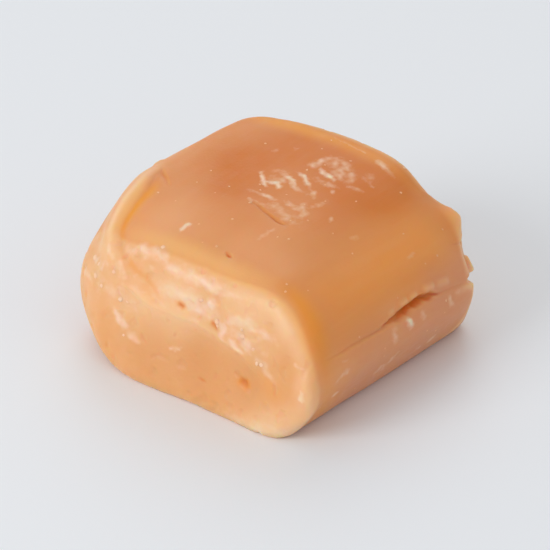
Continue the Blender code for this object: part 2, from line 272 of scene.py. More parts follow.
# Crumbly, sugared streaks: points with the amount there, then width
streaks = {
    "along the upper edge": ([
        (-12.1, 9.6, 12.6, 0.5), (-12.1, 7.4, 13.4, 0.95), (-12, 5.2, 13.6, 0.95), (-12.3, 4.2, 13.1, 0.9),
        (-12.6, 2.6, 12.8, 0.9), (-12.5, 0.6, 13, 1), (-12.5, -1.3, 12.9, 1), (-12.4, -3.3, 12.9, 0.8),
        (-12.3, -5.2, 13, 0.3)], 0.6),
    "pink band": ([
        (-13.4, 4, 10.9, 0.4), (-13.5, 2.2, 10.8, 1), (-13.4, 0.6, 10.7, 1), (-13.4, -0.8, 10.4, 1),
        (-13.4, -2.2, 10.3, 0.8), (-13.4, -3.4, 10.1, 0.4)], 0.85),
    "spot over the pink band": ([(-13.1, -2, 11.1, 1), (-13.1, -2.4, 10.9, 1)], 0.4),
    "tall fleck": ([(-13.5, -3.2, 9.9, 0.6), (-13.7, -4.4, 9.2, 1), (-13.9, -4.2, 8.5, 0.9)], 0.4),
    "long pink streak": ([
        (-13.3, -4.3, 10.2, 0.6), (-13.2, -6.5, 10.8, 1), (-13.1, -7.8, 10.6, 0.9), (-13.1, -9.4, 10.4, 0.7),
        (-13.2, -10.8, 9.9, 0.3)], 0.5),
    "white fleck on the right": ([(-13.7, -6.4, 9.2, 0.9), (-13.7, -7.8, 8.5, 0.8)], 0.5),
    "pink fleck below it": ([(-14, -5.7, 8.2, 0.9), (-14, -6.8, 7.7, 0.8)], 0.4),
    "lower end of the crumbs": ([
        (-13.9, -9, 7.6, 0.6), (-14, -10, 7, 0.5), (-14.1, -10.6, 6.4, 0.6),
        (-14.2, -11.4, 5.8, 0.2)], 0.42),
    "chain on the left": ([
        (-14.8, 9.4, 6.3, 0.9), (-14.9, 8.1, 5.8, 1), (-15.1, 7.6, 5.1, 0.4), (-15.2, 6.8, 4.8, 0.8),
        (-15.2, 5.8, 4.6, 0.6)], 0.4),
    "soft band on the left": ([(-14, 11, 8.4, 0.4), (-14.2, 9.4, 8.2, 0.5), (-14.4, 7.2, 7.7, 0.5)], 0.7),
    "flecks on the left edge": ([(-12.7, 15.2, 8.1, 0.7), (-13.6, 13.6, 8.1, 0.5)], 0.4),
    "flecks under the lip": ([(-13.2, 9.9, 11.4, 0.7), (-13.7, 9.1, 10.5, 0.6)], 0.45),
    "spot under the lip": ([(-12.5, 14, 10, 1), (-12.6, 13.6, 10, 1)], 0.35),
    "second spot under the lip": ([(-13.1, 12.7, 10.1, 0.8), (-13.2, 12.3, 10, 0.8)], 0.35),
    "end of the lip": ([(-12, 12.4, 12, 0.7), (-12.7, 11.2, 11.4, 0.6)], 0.4),
    "foot of the cut end": ([
        (-15.8, -4, 0.6, 0), (-15.7, -7.5, 0.6, 0.45), (-15.5, -11, 0.8, 0.55), (-15, -13, 1.2, 0.5),
        (-14.4, -14.4, 1.8, 0.3)], 0.7),
    "far end, upper": ([
        (15.4, -6, 13.6, 0.3), (15.7, 0, 14, 0.9), (15.3, 6, 13.8, 1), (14.4, 11, 12.4, 0.5)], 0.7),
    "far end, over the step": ([
        (15.9, -4, 9.6, 0.4), (16, 1, 10.4, 1), (15.7, 6.5, 10, 0.9), (14.9, 11, 8, 0.3)], 0.7),
    "far end, chain below": ([(15.8, -7, 5, 0.7), (15.9, -4.5, 4.2, 0.9), (15.9, -2.5, 4, 0.4)], 0.4),
}

# Whitish scuffs rubbed onto the skin; the brightest, such as the bright fleck and the disc's bright edge,
# are painted highlights: points with the amount there, then width
scuffs = {
    "scratch, left": ([
        (3.6, 4.9, 16.4, 0.6), (2.8, 4.1, 16.4, 0.9), (2.1, 3.4, 16.4, 0.8), (1.8, 2.8, 16.4, 0.6)], 0.24),
    "scratch, front": ([
        (2.4, 3.4, 16.4, 0.8), (2.8, 2.7, 16.4, 1), (2.9, 2.1, 16.5, 1), (2.4, 1.6, 16.4, 0.8)], 0.32),
    "scratch, right": ([
        (4.6, 2.7, 16.5, 0.5), (4.4, 1.7, 16.5, 0.9), (3.9, 1, 16.5, 1), (3.4, 0.5, 16.5, 0.5)], 0.34),
    "scratch, back": ([(4.4, 4.9, 16.5, 0.1), (4.9, 3.7, 16.5, 0.3), (4.9, 2.7, 16.5, 0.4)], 0.45),
    "scratch, middle": ([(3.4, 3.6, 16.5, 0.3), (3.7, 2, 16.5, 0.4)], 0.6),
    "scratch, tail": ([(3.5, 0.6, 16.5, 0.5), (3.3, -0.4, 16.5, 0.4), (3.2, -1.5, 16.4, 0.3)], 0.35),
    "disc, rim": ([
        (7.9, 1.5, 16.6, 0.5), (8.9, 1.4, 16.6, 0.6), (9.8, 1.1, 16.6, 0.6), (10.5, 0.5, 16.6, 0.4),
        (10.4, -0.4, 16.6, 0.4), (9.9, -1.5, 16.5, 0.5), (9.1, -2.6, 16.4, 0.6),
        (8.1, -3.1, 16.4, 0.4)], 0.55),
    "disc, bright edge": ([
        (7.7, 0.3, 16.6, 0.8), (7.4, -0.5, 16.6, 1), (7.3, -1.3, 16.5, 1), (7.1, -1.9, 16.5, 0.6)], 0.32),
    "disc, middle": ([(9.4, 0, 16.6, 0.5), (8.7, -1.5, 16.5, 0.6), (8.1, -2.3, 16.4, 0.45)], 0.9),
    "disc, front": ([
        (6.2, -0.1, 16.6, 0.2), (5.9, -1.3, 16.5, 0.45), (6.1, -2.3, 16.5, 0.4),
        (6.3, -3.3, 16.4, 0.2)], 0.4),
    "crescent": ([
        (5.9, 1.7, 16.6, 0.3), (5.5, 0.8, 16.6, 0.9), (4.8, -0.2, 16.5, 0.7), (4.3, -1.1, 16.5, 0.6),
        (3.9, -1.9, 16.4, 0.6), (3.1, -2.4, 16.4, 0.3)], 0.32),
    "streak behind the crease": ([
        (0.2, 3.9, 16.3, 0.4), (0.3, 2.6, 16.3, 0.6), (0.4, 1.6, 16.3, 0.7), (0.3, 0.4, 16.4, 0.3)], 0.28),
    "streak on the crease": ([
        (-1, 2.8, 16.3, 0.4), (-1.2, 1.8, 16.3, 0.7), (-1.2, 0.8, 16.4, 0.5),
        (-1.3, -0.2, 16.4, 0.3)], 0.25),
    "film beside the crease": ([
        (-0.5, 0.2, 16.4, 0.25), (-1.1, -1.7, 16.4, 0.35), (-1.7, -3.2, 16.3, 0.35),
        (-1.4, -4.4, 16.2, 0.15)], 0.65),
    "rubbed patch": ([
        (0.7, -0.9, 16.4, 0.4), (0.4, -2, 16.4, 0.5), (0.7, -2.8, 16.4, 0.45),
        (1.6, -2.6, 16.4, 0.3)], 0.45),
    "rubbed patch, front": ([(0.7, -2.8, 16.4, 0.4), (0.1, -3.6, 16.3, 0.5), (-0.8, -3.3, 16.3, 0.3)], 0.5),
    "rubbed patch, tail": ([(1.6, -3.4, 16.3, 0.3), (2.7, -3.7, 16.3, 0.35), (3.7, -3.8, 16.3, 0.15)], 0.4),
    "barb": ([(7.2, -3.5, 16.3, 0.3), (7.6, -4.4, 16.2, 0.45), (7.8, -5.2, 16.1, 0.3)], 0.26),
    "barb, spot": ([(5.5, -3.1, 16.4, 0.6), (5.3, -3.3, 16.4, 0.6)], 0.26),
    "barb, blot": ([(10.6, -3.9, 16.2, 0.35), (10.1, -4.4, 16.2, 0.35)], 0.5),
    "barb, back": ([(9.7, -3.7, 16.3, 0.3), (9.3, -5.3, 16, 0.3)], 0.3),
    "drag mark": ([
        (-6.4, -2.4, 15.8, 0.1), (-5.4, -2.7, 15.9, 0.4), (-4.6, -2.8, 16, 0.45),
        (-3.7, -2.9, 16.1, 0.2)], 0.3),
    "dash by the far edge": ([
        (13.2, -2.9, 16.3, 0.5), (13, -3.7, 16.2, 0.8), (12.7, -4.6, 16.1, 0.5),
        (12.4, -5.6, 15.9, 0.2)], 0.38),
    "line by the far edge": ([
        (13.8, 3.6, 16.6, 0.2), (13.6, 1.8, 16.6, 0.4), (13.5, 0.4, 16.6, 0.35),
        (13.5, -0.9, 16.5, 0.5)], 0.16),
    "bright fleck": ([(-8.7, 5.3, 15.3, 1.1), (-8.2, 5.2, 15.3, 1.3), (-7.8, 5.2, 15.4, 1.2)], 0.28),
    "dot": ([(1.7, -5.9, 15.9, 0.7), (1.5, -6.1, 15.9, 0.7)], 0.26),
    "second dot": ([(9.4, 5, 16.7, 0.4), (9.2, 5, 16.7, 0.4)], 0.3),
    "third dot": ([(7.8, 6.5, 16.6, 0.3), (7.6, 6.5, 16.6, 0.3)], 0.35),
    "fourth dot": ([(1.8, -9, 14.9, 0.35), (1.6, -9.1, 14.9, 0.35)], 0.4),
    "fleck on the flap": ([(1.8, -16.4, 7.6, 1.2), (2.1, -16.4, 7, 1.1)], 0.38),
    "second fleck on the flap": ([(4.1, -16.4, 7.4, 0.5), (4.3, -16.4, 6.9, 0.5)], 0.4),
    "third fleck on the flap": ([(-0.7, -16.4, 7.6, 0.4), (-0.5, -16.4, 6.3, 0.45)], 0.5),
    "fourth fleck on the flap": ([(8.5, -16.4, 7.1, 0.4), (8.8, -16.4, 6.2, 0.4)], 0.45),
    "fifth fleck on the flap": ([(9.8, -16.2, 7.3, 0.35), (10.2, -16.2, 7.1, 0.35)], 0.35),
    "scratches low on the flap": ([(-0.6, -15.5, 3.4, 0.35), (0.4, -15.9, 4.2, 0.45)], 0.42),
    "more scratches low on the flap": ([
        (-2.4, -15.4, 3, 0.4), (-1.5, -15.6, 3.5, 0.45), (-1.3, -15.3, 2.8, 0.35)], 0.42),
    "fleck at the flap's foot": ([(7.2, -15.2, 2.7, 0.6), (6.6, -15.2, 2.4, 0.6)], 0.36),
    "second fleck at the flap's foot": ([(4.9, -15.2, 2.4, 0.35), (4.6, -15.2, 2.4, 0.35)], 0.36),
    "speck over the fold": ([(-8.8, -16.2, 7.7, 0.3), (-8.2, -16.2, 7.6, 0.3)], 0.25),
    "streak low on the side": ([(-9.9, -16.1, 5.9, 0.3), (-8.2, -16.2, 6.3, 0.45)], 0.3),
    "speck low on the side": ([(-9.6, -15.9, 3.7, 0.6), (-9.2, -15.9, 3.8, 0.6)], 0.32),
    "dash in the scoop": ([(-14.6, 2, 4.9, 0.9), (-14.4, 1, 5.2, 0.9)], 0.24),
    "fleck on the bead": ([(-13.9, -15, 6.2, 0.7), (-14, -15, 5.3, 0.7)], 0.24),
    "second fleck on the bead": ([(-13.4, -13.6, 8.5, 0.5), (-13.4, -14.4, 8.4, 0.5)], 0.25),
    "fleck at the foot": ([(-15.6, -9.9, 0.5, 0.7), (-15.5, -10.8, 0.4, 0.7)], 0.3),
    "speck on the shoulder": ([(4.8, -13.5, 12.6, 0.35), (6.2, -13.4, 12.6, 0.35)], 0.22),
    "scuff on the closed side": ([(-2, 16.3, 12.2, 0.3), (0.5, 16.2, 12, 0.8), (2.5, 16, 12.3, 0.4)], 0.3),
    "second scuff on the closed side": ([(-1, 16.6, 10.6, 0.3), (1.5, 16.5, 10.8, 0.6)], 0.4),
    "scuff on the far end": ([(16.2, -0.5, 7.2, 0.5), (16.2, 1.5, 7.6, 0.9), (16.1, 3, 7.2, 0.4)], 0.3),
}

# Where the cut end is torn: centre, reach and amount
tornZone = [
    (-13, 4, 11.8, 3.6, 0.9), (-13.2, -1.5, 11, 3.2, 1), (-13.4, -7, 9.8, 3.4, 0.9),
    (-13.2, 12, 10, 3.6, 0.7), (-14, 8.5, 8.6, 3, 0.5), (15.5, 2, 12, 5, 0.9), (14.6, 9, 10.5, 4, 0.7)]

# Soft differences in the colour of the skin and the cut faces, several of them painted light and shade:
# centre, reach and amount
washes = {
    # a lighter tan; its largest spot, on the top beside the lip, is a painted sheen
    "tan": [
        (-8.5, 7.5, 15, 4.2, 0.9), (-8, -2, 15.3, 3.5, 0.5), (9.5, -15, 10, 2.5, 0.45),
        (1, 16.5, 12, 5, 0.5), (-7.8, -6.8, 14.6, 2.4, 0.45), (-9.8, -15.9, 6.5, 3, 0.8),
        (0, -15.8, 9.6, 2, 0.8), (3, -15.6, 10.4, 2, 0.8), (6.6, -12.6, 13.8, 2.4, 0.4)],
    # a darker orange-brown over the top and the shoulder: partly the fudge's own tone, partly painted shade
    "ochre_shade": [
        (8, 6, 16.6, 6, 0.8), (0.2, 3.6, 16.3, 3.5, 0.65), (8.5, -4, 16.2, 5, 0.9), (2, -5, 16.1, 4.5, 0.5),
        (-4.5, 1, 16, 3.5, 0.3), (12, -6.5, 15.6, 3.5, 0.7), (14, 3, 16.5, 5, 0.8), (8, -8.5, 15.2, 3, 0.4),
        (-6.3, -12, 13.5, 2.8, 0.35), (3.2, 8.6, 16.4, 3.2, 0.7), (-1.1, 6.6, 16.3, 2.3, 0.5)],
    # painted light: a brighter, more saturated orange over the open side and its shoulder
    "lit": [
        (9.5, -13, 12.4, 4, 0.9), (3, -13.5, 12.3, 4.5, 0.9), (-3, -14, 12.2, 4, 0.8),
        (4.5, -15.7, 9.5, 3, 0.4), (-8, -15.2, 10.5, 3, 0.5), (-9.5, -15.8, 6.5, 3.5, 0.35),
        (-7, -12, 13.5, 2.5, 0.4)],
    # a pinkish brown on the sides and the flap; its spots low by the table are painted shade
    "rose": [
        (7, -15.6, 9.2, 2.2, 0.45), (11.5, -15, 8.8, 2.4, 0.45), (5, -14.4, 0.6, 4, 0.6),
        (-4, -14.4, 0.6, 4, 0.6), (4, -16, 5, 5, 0.7), (-5, -16, 4.5, 5, 0.7), (11, -15, 5, 4, 0.6),
        (4, 16.5, 4, 5, 0.7), (-6, 16.5, 4, 4.5, 0.6), (12, 14, 6, 4, 0.4)],
    # a paler cut end; its spots just under the step and by the foot are painted light over the shade there
    "pale": [
        (-14.3, 1, 7.5, 3.2, 0.7), (-12.8, 2, 12, 4, 0.6), (-14, 5.6, 9.4, 2.3, 0.6),
        (-13, 11.5, 9.5, 4.5, 0.45), (-13, -6.5, 11, 4.5, 0.7), (-14.6, -11.5, 1, 3, 0.9),
        (-14.7, 3, 5.8, 2.6, 0.35), (-14.2, 7.5, 6.8, 2, 0.3)],
    # painted shade: darker, warmer cut faces in the scoops and over the far end
    "hollow_shade": [
        (-15.2, -2, 4, 3.8, 0.9), (-14.9, 3.5, 5.4, 2.6, 0.3), (-14.6, -1, 6.2, 2, 0.2),
        (-15, -8.5, 4.6, 3, 0.8), (-15.4, 5, 2.2, 3.5, 0.5), (16, 0, 8, 9, 0.7)],
}

# How the walks act on the surface
shaping = {
    "walkSteps": 6,                   # points worked out between two points of a walk
    "walkReach": 4.0,                 # a walk touches nothing further away
    "gather": 0.6,                    # share by which the grid is drawn onto a fold
    "gatherSpan": 1.6,                # from how many of the fold's widths away
    "taper": 0.35,                    # a fold's width where its amount runs out
    "waver": (1.6, 0.12),             # how a fold strays: size of the noise, amount
    "raggedness": (0.7, 0.05),        # how its walls stray, unless the fold has its own amount
    "edgeReach": 40.0,                # the edge of a cut face parts the whole surface
    "edgeSoftness": 0.3,              # half the width over which cut face turns into skin
    "cutFacing": (0.05, 0.35),        # how far a cut face looks along X, from none to full
    # The foot colours are painted light and shade: redder and darker by the table, standing in for the shade
    # and the scattered light lost through the base
    "footHeight": 0.4,                # the colour is redder this close to the table
}

# How ragged and patchy the marks are
wear = {
    "streaks": (1.0, 0.4),            # how their edges stray: size of the noise, amount
    "scuffs": (0.5, 0.22),
    "recessShades": (0.5, 0.1),
    "sugar": (0.9, 0.6, 0.3),         # even share, and the shares of the coarse and the fine crumb
    "rubbing": (0.9, 0.8),            # even share, and the share of the rubbed skin
    "tornPatches": (-0.1, 0.7),       # noise where sugar begins in the torn zone, and is full
    "tornSugar": 0.5,
    "pitWalls": (0.3, 0.55),          # noise at a pit's brim and at its floor
}

# Unevenness of the surface: stretch, size and where the noise starts
unevenness = {
    "slow waves": ((1, 1, 1), 5.0, 7.0),
    "short waves": ((1, 1, 1), 1.8, 19.0),
    "drag lines": ((0.08, 1, 1), 0.5, 29.0),
    "coarse crumb": ((1.0, 0.7, 1.1), 1.0, 3.0),
    "fine crumb": ((1.0, 0.8, 1.1), 0.45, 11.0),
    "rubbed skin": ((1, 1, 1), 0.6, 41.0),
    "pits": ((1, 1, 1), 1.1, 23.0),
}

# How high it stands
heights = {
    "slow waves": 0.08,
    "short waves": 0.02,
    "drag lines": 0.015,
    "coarse crumb": 0.06,
    "fine crumb": 0.02,
    "sugar": 0.06,
    "scuff": 0.04,
    "pits": -0.1,
}


def blockGrid():
    mesh = bmesh.new()
    bmesh.ops.create_cube(mesh, size=2)
    for axis, cuts in enumerate(block["cuts"]):
        along = [edge for edge in mesh.edges if abs(edge.verts[0].co[axis] - edge.verts[1].co[axis]) > 1]
        bmesh.ops.subdivide_edges(mesh, edges=along, cuts=cuts, use_grid_fill=True)
    return mesh


def gridDirections(mesh):
    corners = np.array([vert.co[:] for vert in mesh.verts]) * block["gridBox"]
    return corners / np.linalg.norm(corners, axis=1, keepdims=True)


def meltedBlock(directions):
    # searches along each direction for the surface where the faces melt into one
    turn, tilt, distance = np.array(list(block["faces"].values()), float).T
    turn = np.radians(turn)
    tilt = np.radians(tilt)
    normals = np.stack([np.cos(turn) * np.cos(tilt), np.sin(turn) * np.cos(tilt), np.sin(tilt)], axis=1)
    slope = directions @ normals.T
    inner = np.zeros(len(directions))
    outer = np.full(len(directions), block["reach"])
    for _ in range(block["searchSteps"]):
        radius = (inner + outer) / 2
        pull = np.exp((slope * radius[:, None] - distance) / block["softness"])
        outside = pull.sum(axis=1) > 1
        outer = np.where(outside, radius, outer)
        inner = np.where(outside, inner, radius)
    facing = pull @ normals
    facing /= np.linalg.norm(facing, axis=1, keepdims=True)
    return directions * radius[:, None] + block["middle"], facing


def smoothStep(low, high, value):
    t = np.clip((value - low) / (high - low), 0, 1)
    return t * t * (3 - 2 * t)


def noiseAt(points, size, start):
    return np.array([noise.noise(Vector(point)) for point in points / size + start])


def threeNoises(points, size, starts):
    return np.stack([noiseAt(points, size, start) for start in starts], axis=1)


def uneven(points, name):
    stretch, size, start = unevenness[name]
    return noiseAt(points * stretch, size, start)


def ragged(points, name):
    size, amount = wear[name]
    return points + threeNoises(points, size, (5, 35, 65)) * amount


def softSpots(points, spots):
    strength = np.zeros(len(points))
    for x, y, z, reach, amount in spots:
        away = np.linalg.norm(points - (x, y, z), axis=1)
        strength += amount * np.exp(-(away / reach) ** 2)
    return strength


def washed(points, spots):
    return np.minimum(softSpots(points, spots), 1)


def smoothWalk(walk):
    knots = np.array([walk[0]] + walk + [walk[-1]], float)
    curve = []
    for before, start, end, after in zip(knots[:-3], knots[1:-2], knots[2:-1], knots[3:]):
        for step in range(shaping["walkSteps"]):
            t = step / shaping["walkSteps"]
            bend = (2 * before - 5 * start + 4 * end - after) * t ** 2
            twist = (3 * start - before - 3 * end + after) * t ** 3
            curve.append(start + ((end - before) * t + bend + twist) / 2)
    return np.array(curve + [knots[-1]])


def alongWalk(points, facing, walk, reach=shaping["walkReach"]):
    # how far each point lies to the left of the walk, which way, and the walk's amount there
    curve = smoothWalk(walk)
    low = curve[:, :3].min(axis=0) - reach
    high = curve[:, :3].max(axis=0) + reach
    near = np.flatnonzero(np.all((points > low) & (points < high), axis=1))
    nearPoints = points[near]
    nearFacing = facing[near]
    nearest = np.full(len(near), np.inf)
    way = np.zeros((len(points), 3))
    offset = np.full(len(points), 10.0 * reach)   # far off, until a stretch of the walk is near
    amount = np.zeros(len(points))
    for start, end in zip(curve[:-1], curve[1:]):
        run = end[:3] - start[:3]
        part = np.clip((nearPoints - start[:3]) @ run / (run @ run), 0, 1)
        gap = nearPoints - start[:3] - part[:, None] * run
        away = np.linalg.norm(gap, axis=1)
        gap -= np.sum(gap * nearFacing, axis=1)[:, None] * nearFacing
        side = np.sign(np.sum(np.cross(nearFacing, run) * gap, axis=1))
        closer = away < nearest
        nearest[closer] = away[closer]
        chosen = near[closer]
        way[chosen] = gap[closer]
        offset[chosen] = np.linalg.norm(gap[closer], axis=1) * side[closer]
        amount[chosen] = (start[3] + part * (end[3] - start[3]))[closer]
    amount[near] *= nearest < reach
    return way, offset, amount


def strongest(points, facing, walks):
    # the strongest of some soft strips along walks
    strength = np.zeros(len(points))
    for walk, width in walks.values():
        _, offset, amount = alongWalk(points, facing, walk)
        strength = np.maximum(strength, amount * np.exp(-(offset / width) ** 2))
    return strength


def foldProfile(left, right, sharp, offset, amount):
    width, proud, reach = [np.where(offset > 0, *sides) for sides in zip(left, right)]
    width = width * (shaping["taper"] + (1 - shaping["taper"]) * amount)
    groove = np.exp(-np.abs(offset / width) ** sharp)
    return proud * (1 - groove) * np.exp(-(offset / reach) ** 2), groove


def foldedBlock(points, facing):
    # draws the grid onto each fold, and says how far every point rises and how much painted shade its groove
    # gets
    waverSize, waverAmount = shaping["waver"]
    raggedSize, raggedAmount = shaping["raggedness"]
    waver = threeNoises(points, waverSize, (0, 30, 60)) * waverAmount
    jags = threeNoises(points, raggedSize, (10, 40, 70))
    lift = softSpots(points, block["swells"].values())
    deep = np.zeros(len(points))
    for fold in folds.values():
        left = fold["left"]
        right = fold.get("right", left)
        moved = points + waver + jags * fold.get("ragged", raggedAmount)
        way, offset, amount = alongWalk(moved, facing, fold["walk"])
        span = shaping["gatherSpan"] * max(left[0], right[0])
        closeness = 1 - np.clip(np.abs(offset) / span, 0, 1)
        drawn = shaping["gather"] * np.minimum(2 * amount, 1) * closeness
        points = points - drawn[:, None] * way
        offset = offset * (1 - drawn)
        proud, groove = foldProfile(left, right, fold.get("sharp", 2), offset, amount)
        lift += amount * (proud - fold["depth"] * groove)
        deep = np.maximum(deep, amount * groove * fold.get("grooveShade", 0))
    return points, lift, deep


def cutFaces(points, facing):
    # 1 on the two cut faces, 0 on the skin
    softness = shaping["edgeSoftness"]
    cut = np.zeros(len(points))
    for name, edge in cutEdges.items():
        walk = [point + (1,) for point in edge]
        _, offset, _ = alongWalk(points, facing, walk, shaping["edgeReach"])
        outward = -facing[:, 0] if name == "cut end" else facing[:, 0]
        within = smoothStep(-softness, softness, offset)
        cut = np.maximum(cut, within * smoothStep(*shaping["cutFacing"], outward))
    return cut


def raiseRidges(points, facing, lift):
    # adds the ridges to the lift, and says how much painted highlight they lay on each point
    rim = np.zeros(len(points))
    for walk, height, width in ridges.values():
        ridge = strongest(points, facing, {"ridge": (walk, width)})
        lift += height * ridge
        rim = np.maximum(rim, ridge)
    return rim


def sugarMask(points, facing, torn, coarse, fine):
    evenShare, coarseShare, fineShare = wear["sugar"]
    sugar = strongest(ragged(points, "streaks"), facing, streaks)
    sugar *= evenShare + coarseShare * coarse + fineShare * fine
    patches = smoothStep(*wear["tornPatches"], coarse + fineShare * fine)
    return np.maximum(sugar, wear["tornSugar"] * torn * patches)


def scuffMask(points, facing):
    evenShare, rubbedShare = wear["rubbing"]
    scuff = strongest(ragged(points, "scuffs"), facing, scuffs)
    return scuff * (evenShare + rubbedShare * uneven(points, "rubbed skin"))


def fudgeBody():
    mesh = blockGrid()
    points, facing = meltedBlock(gridDirections(mesh))
    points, lift, deep = foldedBlock(points, facing)
    print("block pressed and folded:", len(folds), "folds")
    cut = cutFaces(points, facing)
    rim = raiseRidges(points, facing, lift)
    torn = cut * washed(points, tornZone)
    coarse = uneven(points, "coarse crumb")
    fine = uneven(points, "fine crumb")
    sugar = sugarMask(points, facing, torn, coarse, fine)
    scuff = scuffMask(points, facing)
    for name in ("slow waves", "short waves"):
        lift += heights[name] * uneven(points, name)
    lift += heights["drag lines"] * (1 - cut) * uneven(points, "drag lines")
    lift += torn * (heights["coarse crumb"] * coarse + heights["fine crumb"] * fine)
    lift += heights["sugar"] * sugar + heights["scuff"] * scuff
    lift += heights["pits"] * cut * smoothStep(*wear["pitWalls"], uneven(points, "pits"))
    masks = {"deep": deep, "cut": cut, "rim": rim, "sugar": sugar, "scuff": scuff}   # the finish reads these
    # painted highlight and glow along the edges
    masks["edge"] = strongest(points, facing, edges)
    masks["glow"] = strongest(points, facing, glows)
    # painted shade in the pits and hollows
    masks["recessShade"] = strongest(ragged(points, "recessShades"), facing, recessShades)
    # painted shade and lost light by the table
    masks["foot"] = np.exp(-(points[:, 2] / shaping["footHeight"]) ** 2)
    for name, spots in washes.items():
        masks[name] = washed(points, spots)
    print("surface marked:", len(masks), "masks")
    placeSurface(mesh, points + facing * lift[:, None], masks)
    flattenBase(mesh)
    shift = placeOnFrame(mesh)
    return smoothPiece("fudge_body", mesh, fudgeFinish()), shift


def placeSurface(mesh, points, masks):
    stores = {name: mesh.verts.layers.float.new(name) for name in masks}
    for index, vert in enumerate(mesh.verts):
        vert.co = points[index]
        for name, store in stores.items():
            vert[store] = masks[name][index]


def flattenBase(mesh):
    for vert in mesh.verts:
        if abs(vert.co.z) < block["snap"]:
            vert.co.z = 0.0
    everything = mesh.verts[:] + mesh.edges[:] + mesh.faces[:]
    bmesh.ops.bisect_plane(mesh, geom=everything, dist=block["skim"], plane_no=(0, 0, 1))
    below = [face for face in mesh.faces if face.calc_center_median().z < block["skim"]]
    bmesh.ops.delete(mesh, geom=below, context="FACES")
    brim = [edge for edge in mesh.edges if edge.is_boundary]
    for edge in brim:
        edge.smooth = False
    bmesh.ops.contextual_create(mesh, geom=brim)


def placeOnFrame(mesh):
    # the footprint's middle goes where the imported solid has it
    bmesh.ops.scale(mesh, verts=mesh.verts, vec=(mm, mm, mm))
    corners = np.array([vert.co[:] for vert in mesh.verts])
    own = (corners.min(axis=0) + corners.max(axis=0)) / 2
    wanted = (cadLow + cadHigh) / 2
    shift = Vector((wanted[0] - own[0], wanted[1] - own[1], cadLow[2]))
    bmesh.ops.translate(mesh, verts=mesh.verts, vec=shift)
    return shift


def addObject(name, data):
    thing = bpy.data.objects.new(name, data)
    bpy.context.scene.collection.objects.link(thing)
    return thing


def addMesh(name, mesh, finish):
    data = bpy.data.meshes.new(name)
    mesh.to_mesh(data)
    mesh.free()
    data.materials.append(finish)
    return addObject(name, data)


def smoothPiece(name, mesh, finish):
    bmesh.ops.recalc_face_normals(mesh, faces=mesh.faces)
    for face in mesh.faces:
        face.smooth = True
    piece = addMesh(name, mesh, finish)
    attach(piece, "root")
    print(name, len(piece.data.vertices), "vertices")
    return piece


crumbs = {
    "count": 22,
    "size": (0.18, 0.36),
    "spread": 0.6,                    # how far they stray from the streaks
    "flatness": 0.22,
    "sunk": 0.45,                     # share of the crumb's thickness that lies in the surface
    "seed": 11,
    "roundness": 2,                   # each step has four times the faces
    "light": (0.97, 0.66, 0.44),
    "dark": (0.95, 0.57, 0.34),
}

grains = {
    "count": 80,
    "size": (0.14, 0.27),
    "flatness": 0.3,
    "sunk": 0.6,
    "seed": 5,
    "roundness": 1,
    "lowest": 0.5,                    # none lies closer to the table
    "steepest": 0.6,                  # none lies where the surface looks further along X
    "light": (0.96, 0.56, 0.30),
    "dark": (0.92, 0.47, 0.21),
}

# What crumbs and grains share
lumps = {
    "breadth": (0.6, 1.0),            # shares of the length
    "dents": (1.3, 0.28),             # how close together, how deep
    "noiseStep": 1.7,                 # from one lump to the next, so that no two are alike
    "clouds": (1.2, 0.35, 0.65),      # size, from light to dark
    "gloss": (0.4, 0.3, 0.7, 0.5, 0.7),
    "pimples": (0.1, 3.0),            # size, detail
    "bump": (0.4, 0.02),              # strength, depth
}


def addLump(mesh, place, halves, turning, start, roundness):
    closeness, depth = lumps["dents"]
    made = bmesh.ops.create_icosphere(mesh, subdivisions=roundness, radius=1)
    for vert in made["verts"]:
        vert.co *= 1 + depth * noise.noise(vert.co * closeness + Vector((start, 0, 0)))
    stretch = Matrix.Diagonal(Vector(halves) * mm).to_4x4()
    placing = Matrix.Translation(place) @ turning.to_matrix().to_4x4() @ stretch
    bmesh.ops.transform(mesh, matrix=placing, verts=made["verts"])


def layLump(mesh, look, draw, place, facing, number):
    size = draw.uniform(*look["size"])
    halves = (size, size * draw.uniform(*lumps["breadth"]), size * look["flatness"])
    turning = facing.to_track_quat("Z", "Y").to_euler()
    turning.rotate_axis("Z", draw.uniform(0, math.tau))
    sunk = facing * (halves[2] * look["sunk"] * mm)
    addLump(mesh, place - sunk, halves, turning, number * lumps["noiseStep"], look["roundness"])


def tornCrumbs(surface, shift):
    draw = random.Random(crumbs["seed"])
    mesh = bmesh.new()
    walks = [smoothWalk(walk) for walk, _ in streaks.values()]
    for number in range(crumbs["count"]):
        curve = draw.choice(walks)
        spot = curve[draw.randrange(len(curve))]
        stray = [draw.gauss(0, crumbs["spread"]) for _ in range(3)]
        place, facing, _, _ = surface.find_nearest((Vector(spot[:3]) + Vector(stray)) * mm + shift)
        layLump(mesh, crumbs, draw, place, facing, number)
    return smoothPiece("torn_crumbs", mesh, crumbFinish("crumb", crumbs))


def sugarGrains(surface):
    draw = random.Random(grains["seed"])
    mesh = bmesh.new()
    middle = Vector((0, 0, cadHigh[2] / 2))
    placed = 0
    while placed < grains["count"]:
        direction = Vector([draw.gauss(0, 1) for _ in range(3)]).normalized()
        place, facing, _, _ = surface.ray_cast(middle + direction * block["reach"] * mm, -direction)
        if place.z > grains["lowest"] * mm and abs(facing.x) < grains["steepest"]:
            layLump(mesh, grains, draw, place, facing, placed)
            placed += 1
    return smoothPiece("sugar_grains", mesh, crumbFinish("grain", grains))


def newFinish(name):
    material = bpy.data.materials.new(name)
    material.use_nodes = True
    tree = material.node_tree
    return material, tree, tree.nodes["Principled BSDF"]


